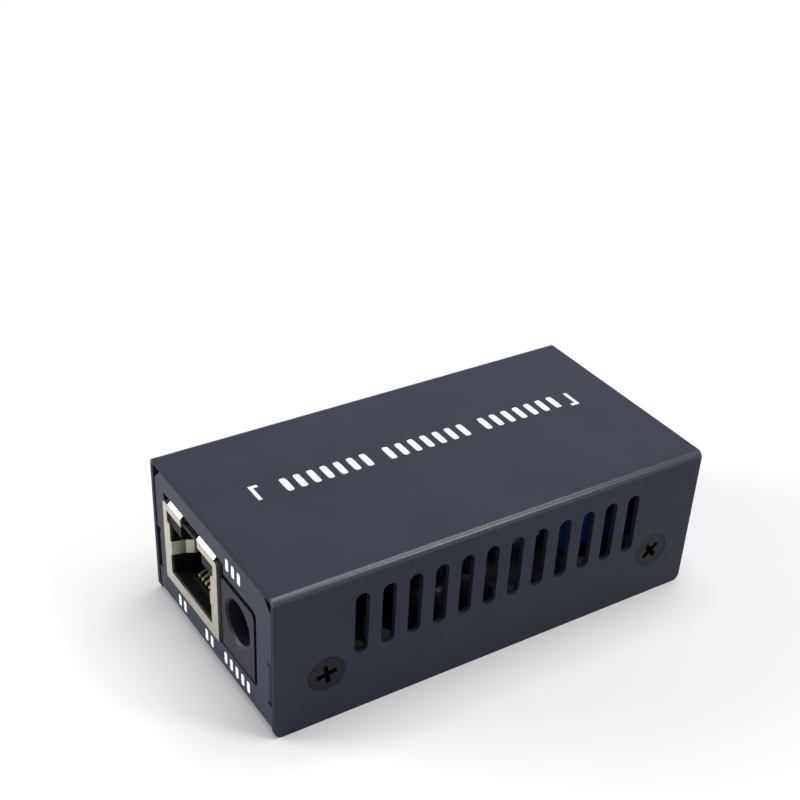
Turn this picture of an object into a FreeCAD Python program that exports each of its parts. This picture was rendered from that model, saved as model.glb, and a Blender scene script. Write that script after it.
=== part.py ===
import FreeCAD, Part
import math
import os
import re

import Sketcher
from FreeCAD import Vector

# Small fibre media converter in a folded steel case: a slotted cover screwed over a folded tray,
# and between them a circuit board with a network jack and a power jack at the front (-Y) and an
# optical port at the rear (+Y). Millimetres, +Z up, origin at the middle of the case's underside.

SIZES = {
    # case
    "case_width": 35.0,         # over the cover's flanges
    "case_height": 22.2,
    "cover_front": 33.7,        # from the origin to the cover's front edge
    "cover_rear": 33.0,
    "tray_front": 33.6,         # the front panel sits a little inside the cover
    "tray_rear": 33.7,          # and the rear panel stands a little proud of it
    "sheet_thick": 0.8,
    "side_gap": 0.15,           # between tray and cover
    "cover_bend": 2.0,          # outer radii of the folds
    "tray_bend": 1.5,
    "flange_corner": 1.2,
    "panel_corner": 1.8,
    # vent slots in the cover's flanges
    "slot_count": 12,
    "slot_pitch": 3.9,
    "slot_wide": 2.0,
    "slot_tall": 9.5,
    "slot_middle": 14.0,
    # cover screws; depths are counted inwards from the flange's outer face
    "screw_reach": 26.3,
    "screw_rise": 7.65,
    "seat_radius": 2.8,
    "seat_depth": 1.15,
    "dimple_wall": 0.85,
    "dimple_depth": 1.25,
    "nest_depth": 1.35,
    "collar_depth": 2.3,
    "collar_radius": 2.2,
    "head_radius": 2.6,
    "head_sunk": 0.12,
    "shank_radius": 1.5,
    "shank_end": 0.25,
    "screw_depth": 2.6,
    "recess_long": 1.45,
    "recess_half": 0.36,
    "recess_depth": 0.9,
    # folded tabs of the tray that take the cover screws
    "tab_low": 5.0,
    "tab_high": 11.0,
    "tab_long": 11.5,
    "tab_relief": 0.4,
    "tab_notch": 1.0,
    "tab_root": 1.6,
    # circuit board, its posts and screws
    "board_half": 15.9,
    "board_front": 32.4,
    "board_rear": 32.2,
    "board_under": 3.2,
    "board_top": 4.8,
    "board_corner": 1.0,
    "board_hole": 1.45,
    "post_radius": 2.1,
    "post_flange": 2.6,
    "post_bore": 1.25,
    "pan_radius": 2.3,
    "pan_high": 1.5,
    "pan_shank": 3.7,
    "tail_foot": 2.3,           # how low solder tails reach
    # network jack
    "jack_left": -13.68,
    "jack_right": 2.37,
    "jack_face": 33.85,         # its face is a touch proud of the front panel
    "jack_long": 18.0,
    "jack_top": 17.6,
    "shield_thick": 0.25,
    "shield_corner": 0.5,
    "mouth_left": -11.83,
    "mouth_right": 0.49,
    "mouth_low": 6.55,
    "mouth_step": 14.5,
    "mouth_top": 16.5,
    "mouth_flare": 0.75,
    "latch_half": 2.5,
    "leaf_rise": 0.6,
    "leaf_long": 7.0,
    "leaf_left": 1.7,
    "leaf_right": 0.7,
    "finger_low": 9.7,
    "finger_high": 11.9,
    "window_near": 5.0,
    "window_far": 7.2,
    "window_low": 12.4,
    "window_high": 14.2,
    "peg_near": 9.0,
    "peg_far": 10.6,
    "plug_half": 5.95,
    "plug_floor": 6.7,
    "plug_top": 14.3,
    "plug_deep": 13.0,
    "channel_half": 3.1,
    "channel_top": 16.6,
    "contact_count": 8,
    "contact_pitch": 1.02,
    "contact_wide": 0.45,
    "comb_half": 4.35,
    "comb_near": 1.8,
    "comb_far": 17.2,
    "comb_top": 6.65,
    "comb_floor": 5.8,
    "groove_wide": 0.65,
    "tail_near": 12.6,
    "tail_far": 15.2,
    # power jack
    "power_middle": 7.22,
    "power_half": 4.5,
    "power_face": 33.45,
    "power_long": 14.4,
    "power_flange": 3.4,
    "power_top": 15.8,
    "power_axis": 11.3,
    "power_corner": 0.8,
    "power_bore": 3.15,
    "power_deep": 9.6,
    "power_lip": 0.3,
    "pin_radius": 1.0,
    "pin_sunk": 1.4,
    "blade_thick": 0.3,
    "blade_half": 1.1,
    # cut-outs in the front panel
    "cut_left": -13.88,
    "cut_step": 3.87,
    "cut_right": 12.67,
    "cut_low": 4.7,
    "cut_jack_top": 18.5,
    "cut_power_top": 16.9,
    "cut_corner": 1.0,
    # optical port
    "port_middle": 3.5,
    "port_axis": 10.4,
    "port_half": 6.5,
    "port_rise": 4.8,
    "port_start": 17.6,
    "port_end": 34.4,
    "port_gap": 0.1,
    "port_edge": 0.5,
    "port_collar": 1.2,
    "collar_more": 0.7,
    "foot_half": 1.4,
    "foot_reach": 4.4,
    "foot_near": 19.4,
    "foot_peg": 0.8,
    "bay_half": 4.55,
    "bay_rise": 3.75,
    "bay_deep": 13.0,
    "key_half": 1.3,
    "key_high": 0.7,
    "clip_thick": 0.3,
    "clip_low": 9.1,
    "clip_start": 20.5,
    "clip_end": 30.6,
    "sleeve_outer": 1.65,
    "sleeve_inner": 1.25,
    "sleeve_start": 18.4,
    "sleeve_end": 28.6,
    "tube_outer": 2.5,
    "tube_end": 29.4,
    # optical module behind the port
    "nose_radius": 3.1,
    "block_half": 3.3,
    "block_start": 8.0,
    "block_end": 14.6,
    "can_flange": 2.8,
    "can_radius": 2.35,
    "can_thick": 1.2,
    "lead_half": 0.2,
    "lead_spread": 1.27,
    # parts on the board
    "trafo_x": -3.4,
    "trafo_y": -8.4,
    "trafo_half": 4.5,
    "trafo_long": 12.2,
    "trafo_high": 5.6,
    "chip_x": -8.6,
    "chip_y": 4.4,
    "chip_half": 5.0,
    "chip_high": 1.4,
    "driver_x": 11.4,
    "driver_y": 11.4,
    "crystal_x": -12.4,
    "crystal_y": 16.9,
    "coil_x": 12.0,
    "coil_y": 4.8,
    "regulator_x": 5.9,
    "regulator_y": -14.2,
    "diode_x": 5.9,
    "diode_y": -7.6,
    "fuse_x": 13.4,
    "fuse_y": -20.4,
    "tank_x": 12.0,
    "tank_y": -9.0,
    "tank_step": 7.2,
    "tank_radius": 3.15,
    "tank_high": 7.7,
    "light_x": 14.4,
    "light_y": -29.2,
    "light_step": 2.4,
}

# Where the board is screwed down: behind the two jacks and at the two rear corners.
POSTS = (("13.0", "-15.6"), ("-13.0", "-11.4"), ("13.2", "28.4"), ("-13.2", "28.4"))

# Banks of small two-ended parts: first x and y, columns, rows, column and row spacing, and
# whether they lie along Y.
BANKS = (
    (-8.2, 13.2, 2, 3, 2.6, 2.2, False),
    (-8.2, 20.6, 2, 2, 2.2, 3.0, True),
    (11.8, 15.8, 2, 3, 2.2, 2.8, True),
    (4.6, -4.2, 2, 2, 2.8, 2.0, False),
    (-13.9, -6.4, 2, 1, 2.6, 2.0, False),
)

TRAY_HALF = "(case_width / 2 - sheet_thick - side_gap)"
PANEL_TOP = "(case_height - sheet_thick - side_gap)"
JACK_MIDDLE = "((jack_left + jack_right) / 2)"
TAB_GAP = "(sheet_thick + side_gap)"

doc = FreeCAD.newDocument("fibre_media_converter")
sheet = doc.addObject("Spreadsheet::Sheet", "Sizes")
for row, (alias, size) in enumerate(SIZES.items(), 1):
    sheet.set(f"A{row}", alias)
    sheet.set(f"B{row}", str(size))
    sheet.setAlias(f"B{row}", alias)
doc.recompute()


# ---- expressions on the sheet ------------------------------------------------------------------

def cells(text):
    """Point every word with an underscore in text at the sheet's cell of that name."""
    return re.sub(r"[a-z]+(?:_[a-z]+)+", lambda word: "Sizes." + word.group(0), str(text))


def number(text):
    """What an expression on the sheet comes to, in millimetres."""
    return float(sheet.evalExpression(cells(text)))


def drive(thing, prop, text):
    """Bind a property to an expression on the sheet."""
    thing.setExpression(prop, cells(text))


# ---- sketches ----------------------------------------------------------------------------------

def origin_of(body, role):
    """One of a body's own origin planes or axes."""
    return next(item for item in body.Origin.OriginFeatures if item.Role == role)


def new_body(name):
    body = doc.addObject("PartDesign::Body", name)
    body.Label = name
    body.AllowCompound = True
    return body


def new_sketch(body, name, role, lift="0", across="0", up="0", spin=0):
    """A sketch on an origin plane, raised by lift along its normal, shifted and spun in it."""
    sketch = body.newObject("Sketcher::SketchObject", name)
    sketch.AttachmentSupport = (origin_of(body, role), [""])
    sketch.MapMode = "FlatFace"
    turned = FreeCAD.Rotation(Vector(0, 0, 1), spin)
    sketch.AttachmentOffset = FreeCAD.Placement(Vector(), turned)
    for name, text in zip("xyz", (across, up, lift)):
        drive(sketch, "AttachmentOffset.Base." + name, text)
    return sketch


def rule(sketch, constraint, text):
    """Add a constraint whose value follows an expression."""
    drive(sketch, f"Constraints[{sketch.addConstraint(constraint)}]", text)


def hold(sketch, geometry, point, x, y):
    """Pin one point of a sketch to a place given by two expressions."""
    for kind, text in (("DistanceX", x), ("DistanceY", y)):
        rule(sketch, Sketcher.Constraint(kind, -1, 1, geometry, point, number(text)), text)


def polygon(sketch, corners):
    """A closed outline of straight lines through corners, each a pair of expressions."""
    spots = [Vector(number(x), number(y), 0) for x, y in corners]
    first, count = sketch.GeometryCount, len(spots)
    sketch.addGeometry([Part.LineSegment(spots[i], spots[(i + 1) % count])
                        for i in range(count)], False)
    sketch.addConstraint([Sketcher.Constraint("Coincident", first + i, 2,
                                              first + (i + 1) % count, 1)
                          for i in range(count)])
    for i, (x, y) in enumerate(corners):
        hold(sketch, first + i, 1, x, y)


def rectangle(sketch, left, low, right, high):
    polygon(sketch, ((left, low), (right, low), (right, high), (left, high)))


def square(sketch, x, y, half):
    rectangle(sketch, f"{x} - {half}", f"{y} - {half}", f"{x} + {half}", f"{y} + {half}")


def circle(sketch, x, y, radius):
    ring = Part.Circle(Vector(number(x), number(y), 0), Vector(0, 0, 1), number(radius))
    geometry = sketch.addGeometry(ring, False)
    hold(sketch, geometry, 3, x, y)
    rule(sketch, Sketcher.Constraint("Radius", geometry, number(radius)), radius)


def hexagon(sketch, x, y, radius):
    """Six sides about (x, y), radius being out to the corners."""
    turns = [math.radians(60 * i) for i in range(6)]
    polygon(sketch, [(f"{x} + {math.cos(t):.6f} * {radius}", f"{y} + {math.sin(t):.6f} * {radius}")
                     for t in turns])


def upright_slot(sketch, x, low, high, radius):
    """A slot with round ends, low and high being the centres of its two arcs."""
    for centre, start in ((low, math.pi), (high, 0)):
        ring = Part.Circle(Vector(number(x), number(centre), 0), Vector(0, 0, 1), number(radius))
        sketch.addGeometry(Part.ArcOfCircle(ring, start, start + math.pi), False)
    for side in (1, -1):
        edge = number(x) + side * number(radius)
        sketch.addGeometry(Part.LineSegment(Vector(edge, number(low), 0),
                                            Vector(edge, number(high), 0)), False)
    meetings = ((2, 1, 0, 2), (2, 2, 1, 1), (3, 1, 0, 1), (3, 2, 1, 2))
    sketch.addConstraint([Sketcher.Constraint("Tangent", *meeting) for meeting in meetings])
    hold(sketch, 0, 3, x, low)
    hold(sketch, 1, 3, x, high)
    rule(sketch, Sketcher.Constraint("Radius", 0, number(radius)), radius)


def cross(sketch):
    """The outline of a cross recess about the sketch's origin."""
    far, near_by = "recess_long", "recess_half"
    quarter = ((far, near_by), (near_by, near_by), (near_by, far))
    corners = [(x, y) for x, y in quarter]
    corners += [(f"-{y}", x) for x, y in quarter]
    corners += [(f"-{x}", f"-{y}") for x, y in quarter]
    corners += [(y, f"-{x}") for x, y in quarter]
    polygon(sketch, corners)


# ---- features ----------------------------------------------------------------------------------

def grow(body, sketch, length, kind="Pad"):
    """Pad a sketch along its normal, or pocket it the other way; a pocket has to cut."""
    before = body.Tip.Shape.Volume if kind == "Pocket" else 0
    feature = body.newObject("PartDesign::" + kind, f"{sketch.Name}_{kind.lower()}")
    feature.Profile = (sketch, [""])
    drive(feature, "Length", length)
    doc.recompute()
    if kind == "Pocket" and feature.Shape.Volume > before - 1e-6:
        raise RuntimeError(f"{sketch.Name} cuts nothing")
    return feature


def cut(body, sketch, length):
    return grow(body, sketch, length, "Pocket")


def turn(body, sketch, axis="V_Axis"):
    """Revolve a sketch about one of its own axes."""
    feature = body.newObject("PartDesign::Revolution", f"{sketch.Name}_turned")
    feature.Profile = (sketch, [""])
    feature.ReferenceAxis = (sketch, [axis])
    feature.Angle = 360
    doc.recompute()
    return feature


def solid(body, kind, role, place, **sizes):
    """An additive or subtractive primitive on an origin plane, placed in that plane's axes."""
    feature = body.newObject("PartDesign::" + kind, f"{body.Name}_{kind.lower()}")
    feature.AttachmentSupport = (origin_of(body, role), [""])
    feature.MapMode = "FlatFace"
    for name, text in zip("xyz", place):
        drive(feature, "AttachmentOffset.Base." + name, text)
    for prop, text in sizes.items():
        drive(feature, prop, text)
    doc.recompute()
    return feature


def block(body, one, other, kind="AdditiveBox"):
    """A box between any two opposite corners, each three expressions."""
    low, high = zip(*(sorted(pair, key=number) for pair in zip(one, other)))
    spans = [f"({top}) - ({bottom})" for bottom, top in zip(low, high)]
    return solid(body, kind, "XY_Plane", low, Length=spans[0], Width=spans[1], Height=spans[2])


def carve(body, one, other):
    return block(body, one, other, "SubtractiveBox")


def lying_rod(body, kind, x, z, start, stop, radius):
    """A cylinder along Y between two stations, start being the nearer to the front."""
    return solid(body, kind + "Cylinder", "XZ_Plane", (x, z, f"-({stop})"),
                 Radius=radius, Height=f"({stop}) - ({start})")


def along(edge, axis):
    """True for a straight edge that runs along X, Y or Z (axis 0, 1 or 2)."""
    if not isinstance(edge.Curve, Part.Line):
        return False
    run = edge.Vertexes[-1].Point - edge.Vertexes[0].Point
    return abs(run[axis]) > 0.999 * run.Length


def near(edge, **place):
    """True where the middle of an edge is at the given x, y or z."""
    middle = edge.BoundBox.Center
    return all(abs(getattr(middle, name) - number(text)) < 0.01 for name, text in place.items())


def dress(body, kind, size, test):
    """Fillet or chamfer every edge of the body's tip that passes a test."""
    base = body.Tip
    names = [f"Edge{n}" for n, edge in enumerate(base.Shape.Edges, 1) if test(edge)]
    if not names:
        raise RuntimeError(f"no edge to {kind.lower()} on {body.Name}")
    feature = body.newObject("PartDesign::" + kind, f"{body.Name}_{kind.lower()}")
    feature.Base = (base, names)
    drive(feature, "Radius" if kind == "Fillet" else "Size", size)
    doc.recompute()
    return feature


def repeat(body, features, axis, count, spacing):
    """Copies of features along an origin axis, count in all."""
    pattern = body.newObject("PartDesign::LinearPattern", f"{body.Name}_row")
    pattern.Originals = features
    pattern.Direction = (origin_of(body, axis), [""])
    drive(pattern, "Occurrences", count)
    drive(pattern, "Length", f"({count} - 1) * {spacing}")
    body.Tip = pattern
    doc.recompute()
    return pattern


def group(name, members):
    """Several like solids as one named sub-part."""
    bundle = doc.addObject("Part::Compound", name)
    bundle.Label = name
    bundle.Links = members
    doc.recompute()
    return bundle


# ---- case --------------------------------------------------------------------------------------

SCREWS = tuple((side, end) for side in (1, -1) for end in (-1, 1))   # +1 is right, +1 is rear


def on_screw(body, kind, screw, outer, inner, radii):
    """A cylinder or cone on a cover screw's axis between two depths from the flange's face."""
    side, end = screw
    shift = f"case_width / 2 - ({inner})" if side > 0 else f"({outer}) - case_width / 2"
    place = (f"{end} * screw_reach", "screw_rise", shift)
    height = f"({inner}) - ({outer})"
    if len(radii) == 1:
        return solid(body, kind + "Cylinder", "YZ_Plane", place, Radius=radii[0], Height=height)
    low, high = reversed(radii) if side > 0 else radii
    return solid(body, kind + "Cone", "YZ_Plane", place, Radius1=low, Radius2=high,
                 Height=height)


def make_top_cover():
    """Inverted U of sheet, slotted along both flanges, with four pressed screw seats."""
    body = new_body("top_cover")
    half, inner = "(case_width / 2)", "(case_width / 2 - sheet_thick)"
    under = "(case_height - sheet_thick)"
    profile = new_sketch(body, "cover_profile", "XZ_Plane", "-cover_rear")
    polygon(profile, ((f"-{half}", "0"), (f"-{half}", "case_height"), (half, "case_height"),
                      (half, "0"), (inner, "0"), (inner, under), (f"-{inner}", under),
                      (f"-{inner}", "0")))
    grow(body, profile, "cover_front + cover_rear")
    dress(body, "Fillet", "cover_bend", lambda e: along(e, 1) and near(e, z="case_height"))
    dress(body, "Fillet", "cover_bend - sheet_thick", lambda e: along(e, 1) and near(e, z=under))
    dress(body, "Fillet", "flange_corner",
          lambda e: along(e, 0) and e.Length < 1 and near(e, z="0"))
    vent = new_sketch(body, "vent_slot", "YZ_Plane", "case_width / 2 + 1")
    reach = "(slot_tall - slot_wide) / 2"
    upright_slot(vent, "-(slot_count - 1) * slot_pitch / 2", f"slot_middle - {reach}",
                 f"slot_middle + {reach}", "slot_wide / 2")
    repeat(body, [cut(body, vent, "case_width + 2")], "Y_Axis", "slot_count", "slot_pitch")
    wall = "seat_radius + dimple_wall"
    for screw in SCREWS:
        on_screw(body, "Additive", screw, "sheet_thick / 2", "dimple_depth",
                 (f"{wall} - sheet_thick / 2", f"{wall} - dimple_depth"))
        on_screw(body, "Subtractive", screw, "0", "seat_depth",
                 ("seat_radius", "seat_radius - seat_depth"))
        on_screw(body, "Subtractive", screw, "seat_depth / 2", "dimple_depth + 0.2",
                 ("seat_radius - seat_depth",))
    return body


def tray_tab(body, screw):
    """A tab folded back from a panel's edge, with a tapped collar for the cover screw."""
    side, end = screw
    face = "(-tray_front)" if end < 0 else "tray_rear"
    inside = f"({face} - {end} * sheet_thick)"
    tip = f"({face} - {end} * tab_long)"
    edge = f"({side} * {TRAY_HALF})"
    carve(body, (f"{edge} - {side} * tab_notch", f"{face} + {end}", "tab_low - tab_relief"),
          (f"{edge} + {side}", f"{inside} - {end} * 0.01", "tab_high + tab_relief"))
    fold = new_sketch(body, f"{body.Name}_tab", "XY_Plane", "tab_low")
    root, inner = f"{edge} - {side} * tab_root", f"{edge} - {side} * sheet_thick"
    polygon(fold, ((root, face), (edge, face), (edge, tip), (inner, tip), (inner, inside),
                   (root, inside)))
    grow(body, fold, "tab_high - tab_low")
    middle = "(tab_low + tab_high) / 2"
    dress(body, "Fillet", "sheet_thick + 0.15",
          lambda e: along(e, 2) and near(e, x=edge, y=face, z=middle))
    dress(body, "Fillet", "0.15",
          lambda e: along(e, 2) and near(e, x=inner, y=inside, z=middle))
    dress(body, "Fillet", "flange_corner",
          lambda e: along(e, 0) and near(e, y=tip) and e.Length < 1)
    on_screw(body, "Additive", screw, f"{TAB_GAP} + sheet_thick / 2", "collar_depth",
             ("collar_radius",))
    nest = "(seat_radius + dimple_wall)"
    on_screw(body, "Subtractive", screw, TAB_GAP, "nest_depth",
             (f"{nest} - {TAB_GAP}", f"{nest} - nest_depth"))
    on_screw(body, "Subtractive", screw, TAB_GAP, "collar_depth + 0.2", ("shank_radius",))


def make_base_tray():
    """U of sheet: bottom, front panel with the jacks' cut-out, rear panel with the port's."""
    body = new_body("base_tray")
    front, rear = "(sheet_thick - tray_front)", "(tray_rear - sheet_thick)"
    profile = new_sketch(body, "tray_profile", "YZ_Plane", f"-{TRAY_HALF}")
    polygon(profile, (("-tray_front", "0"), ("tray_rear", "0"), ("tray_rear", PANEL_TOP),
                      (rear, PANEL_TOP), (rear, "sheet_thick"), (front, "sheet_thick"),
                      (front, PANEL_TOP), ("-tray_front", PANEL_TOP)))
    grow(body, profile, f"2 * {TRAY_HALF}")
    dress(body, "Fillet", "tray_bend", lambda e: along(e, 0) and near(e, z="0"))
    dress(body, "Fillet", "tray_bend - sheet_thick",
          lambda e: along(e, 0) and near(e, z="sheet_thick"))
    dress(body, "Chamfer", "panel_corner",
          lambda e: along(e, 1) and e.Length < 1 and near(e, z=PANEL_TOP))
    jacks = new_sketch(body, "jack_cutout", "XZ_Plane", "tray_front + 1")
    polygon(jacks, (("cut_left", "cut_low"), ("cut_right", "cut_low"),
                    ("cut_right", "cut_power_top"), ("cut_step", "cut_power_top"),
                    ("cut_step", "cut_jack_top"), ("cut_left", "cut_jack_top")))
    cut(body, jacks, "sheet_thick + 1.2")
    dress(body, "Fillet", "cut_corner",
          lambda e: along(e, 1) and near(e, x="cut_right") and e.Length < 1)
    port = new_sketch(body, "port_cutout", "XZ_Plane", "sheet_thick + 1 - tray_rear")
    wide, tall = "(port_half + port_gap)", "(port_rise + port_gap)"
    rectangle(port, f"port_middle - {wide}", f"port_axis - {tall}",
              f"port_middle + {wide}", f"port_axis + {tall}")
    cut(body, port, "sheet_thick + 2")
    holes = new_sketch(body, "post_holes", "XY_Plane", "sheet_thick + 1")
    for x, y in POSTS:
        hexagon(holes, x, y, "post_radius")
    cut(body, holes, "sheet_thick + 2")
    for screw in SCREWS:
        tray_tab(body, screw)
    return body


def make_cover_screws():
    """Four short countersunk screws, their heads just under the flange's face."""
    screws = []
    for side, end in SCREWS:
        name = f"cover_screw_{len(screws) + 1}"
        body = new_body(name)
        half = new_sketch(body, name + "_half", "XY_Plane", "screw_rise",
                          up=f"{end} * screw_reach")
        profile = (("head_sunk", "0"), ("head_sunk", "head_radius"),
                   ("seat_radius - head_radius", "head_radius"),
                   ("seat_radius - shank_radius", "shank_radius"),
                   ("screw_depth - shank_end", "shank_radius"),
                   ("screw_depth", "shank_radius - shank_end"), ("screw_depth", "0"))
        polygon(half, [(f"{side} * (case_width / 2 - ({depth}))", radius)
                       for depth, radius in profile])
        turn(body, half, "H_Axis")
        start = "head_sunk" if side > 0 else "(head_sunk + recess_depth)"
        recess = new_sketch(body, name + "_recess", "YZ_Plane",
                            f"{side} * (case_width / 2 - {start})",
                            across=f"{end} * screw_reach", up="screw_rise",
                            spin=10 if end < 0 else 38)
        cross(recess)
        cut(body, recess, "recess_depth")
        screws.append(body)
    return group("cover_screws", screws)


# ---- circuit board and what holds it -----------------------------------------------------------

def upright(body, name, x, y):
    """A sketch through an upright axis at (x, y), in which V_Axis is that axis."""
    return new_sketch(body, name, "XZ_Plane", f"-({y})", across=x)


def make_board_posts():
    """Six-sided posts pressed into the tray's bottom up to their shoulders."""
    posts = []
    for x, y in POSTS:
        body = new_body(f"board_post_{len(posts) + 1}")
        for radius, low in (("post_flange", "sheet_thick"), ("post_radius", "0")):
            outline = new_sketch(body, f"{body.Name}_{radius}", "XY_Plane", low)
            hexagon(outline, x, y, radius)
            grow(body, outline, f"board_under - {low}")
        bore = new_sketch(body, body.Name + "_bore", "XY_Plane", "board_under + 1")
        circle(bore, x, y, "post_bore")
        cut(body, bore, "board_under + 2")
        posts.append(body)
    return group("board_posts", posts)


def make_board_screws():
    """Pan-head screws that clamp the board on its posts."""
    screws = []
    for x, y in POSTS:
        body = new_body(f"board_screw_{len(screws) + 1}")
        half = upright(body, body.Name + "_half", x, y)
        crown = "(board_top + pan_high)"
        polygon(half, (("0", crown), ("pan_radius * 0.6", crown), ("pan_radius", "board_top"),
                       ("post_bore", "board_top"), ("post_bore", "board_top - pan_shank"),
                       ("0", "board_top - pan_shank")))
        turn(body, half)
        screws.append(body)
    return group("board_screws", screws)


def contact_x(index):
    """Middle of one of the network jack's contacts, counted from the left."""
    return f"{JACK_MIDDLE} + ({index} - (contact_count - 1) / 2) * contact_pitch"


def contact_tail(index):
    """How far behind the jack's face a contact's solder tail goes down."""
    return "tail_near" if index % 2 else "tail_far"


def make_circuit_board():
    """The board, drilled for its screws, the jacks' tails and the port's pegs."""
    body = new_body("circuit_board")
    outline = new_sketch(body, "board_outline", "XY_Plane", "board_under")
    rectangle(outline, "-board_half", "-board_front", "board_half", "board_rear")
    grow(body, outline, "board_top - board_under")
    dress(body, "Fillet", "board_corner", lambda e: along(e, 2))
    holes = new_sketch(body, "board_holes", "XY_Plane", "board_top + 1")
    for x, y in POSTS:
        circle(holes, x, y, "board_hole")
    for index in range(int(number("contact_count"))):
        square(holes, contact_x(index), f"{contact_tail(index)} - jack_face", "0.35")
    peg_y = "(peg_near + peg_far) / 2 - jack_face"
    for x in ("jack_left + shield_thick / 2", "jack_right - shield_thick / 2"):
        circle(holes, x, peg_y, "1.0")
    for side in (1, -1):
        square(holes, f"port_middle + {side} * foot_reach", "foot_near", "(foot_peg + 0.1)")
    cut(body, holes, "board_top - board_under + 2")
    slots = new_sketch(body, "board_slots", "XY_Plane", "board_top + 1")
    half, thick = "(blade_half + 0.2)", "(blade_thick / 2 + 0.2)"
    for depth in ("power_long + blade_thick", "5.95"):
        y = f"({depth} - power_face)"
        rectangle(slots, f"power_middle - {half}", f"{y} - {thick}",
                  f"power_middle + {half}", f"{y} + {thick}")
    side_x = "(power_middle + power_half + blade_thick / 2)"
    rectangle(slots, f"{side_x} - {thick}", f"7.1 - power_face - {half}",
              f"{side_x} + {thick}", f"7.1 - power_face + {half}")
    cut(body, slots, "board_top - board_under + 2")
    return body


# ---- network jack ------------------------------------------------------------------------------

def behind_jack(depth):
    """A station in Y, counted backwards from the network jack's face."""
    return f"({depth} - jack_face)"


def shield_finger(body, root, inward):
    """A bowed spring finger that starts at the mouth's edge and runs back into the jack."""
    finger = new_sketch(body, f"{body.Name}_finger", "XY_Plane", "finger_low")
    bow = (("-0.1", "0"), ("0.3", "0"), ("0.75", "1.9"), ("1.3", "2.9"), ("1.5", "4.6"),
           ("1.1", "6.6"), ("0.5", "7.8"), ("0.3", "7.75"), ("0.88", "6.5"), ("1.28", "4.6"),
           ("1.1", "3.05"), ("0.55", "2.0"), ("0.12", "shield_thick"), ("-0.1", "shield_thick"))
    polygon(finger, [(f"{root} + {inward} * ({across})", behind_jack(depth))
                     for across, depth in bow])
    grow(body, finger, "finger_high - finger_low")


def make_jack_shield():
    """Folded nickel shell, open below, with a stepped mouth, a top leaf and side fingers."""
    body = new_body("jack_shield")
    wall, face, back = "shield_thick", behind_jack("0"), behind_jack("jack_long")
    block(body, ("jack_left", face, "board_top"), ("jack_right", back, "jack_top"))
    dress(body, "Fillet", "shield_corner", lambda e: along(e, 1) and near(e, z="jack_top"))
    carve(body, (f"jack_left + {wall}", f"{face} + {wall}", "board_top - 1"),
          (f"jack_right - {wall}", f"{back} - {wall}", f"jack_top - {wall}"))
    mouth = new_sketch(body, "shield_mouth", "XZ_Plane", "jack_face + 1")
    polygon(mouth, (("mouth_left", "mouth_low"), ("mouth_right", "mouth_low"),
                    ("mouth_right", "mouth_step"),
                    ("mouth_right + mouth_flare", "mouth_step + 0.3"),
                    ("mouth_right + mouth_flare", "mouth_top"),
                    ("mouth_left - mouth_flare", "mouth_top"),
                    ("mouth_left - mouth_flare", "mouth_step + 0.3"),
                    ("mouth_left", "mouth_step")))
    cut(body, mouth, f"1 + {wall} + 0.1")
    latch = (f"{JACK_MIDDLE} - latch_half", f"{JACK_MIDDLE} + latch_half")
    carve(body, (latch[0], f"{face} - 1", "mouth_top - 0.1"),
          (latch[1], f"{face} + 0.9", "jack_top + 1"))
    carve(body, ("jack_left + leaf_left + 0.4", f"{face} + 1.6", f"jack_top - 2 * {wall}"),
          ("jack_right - leaf_right - 0.4", f"{face} + leaf_long - 0.8", "jack_top + 1"))
    for low, high in ((f"jack_left - 1", "jack_left + 1"), ("jack_right - 1", "jack_right + 1")):
        carve(body, (low, f"{face} + window_near", "window_low"),
              (high, f"{face} + window_far", "window_high"))
    leaf = new_sketch(body, "shield_leaf", "YZ_Plane", "jack_left + leaf_left")
    crest = "jack_top + leaf_rise"
    polygon(leaf, ((face, "jack_top - 0.1"), (face, "jack_top + 0.2"),
                   (f"{face} + 0.4", crest), (f"{face} + 1.8", crest),
                   (f"{face} + leaf_long", "jack_top"), (f"{face} + leaf_long", f"jack_top - {wall}"),
                   (f"{face} + leaf_long - 0.9", f"jack_top - {wall} + 0.05"),
                   (f"{face} + 1.7", f"{crest} - {wall}"), (f"{face} + 0.5", f"{crest} - {wall}"),
                   (f"{face} + {wall}", "jack_top + 0.1"), (f"{face} + {wall}", "jack_top - 0.1")))
    grow(body, leaf, "jack_right - leaf_right - jack_left - leaf_left")
    carve(body, (latch[0], f"{face} - 1", "jack_top - 0.2"),
          (latch[1], f"{face} + 0.6", "jack_top + 2"))
    for x in ("jack_left", f"jack_right - {wall}"):
        block(body, (x, f"{face} + peg_near", "tail_foot"),
              (f"{x} + {wall}", f"{face} + peg_far", "board_top + 0.5"))
    shield_finger(body, "mouth_left", 1)
    shield_finger(body, "mouth_right", -1)
    return body


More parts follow.
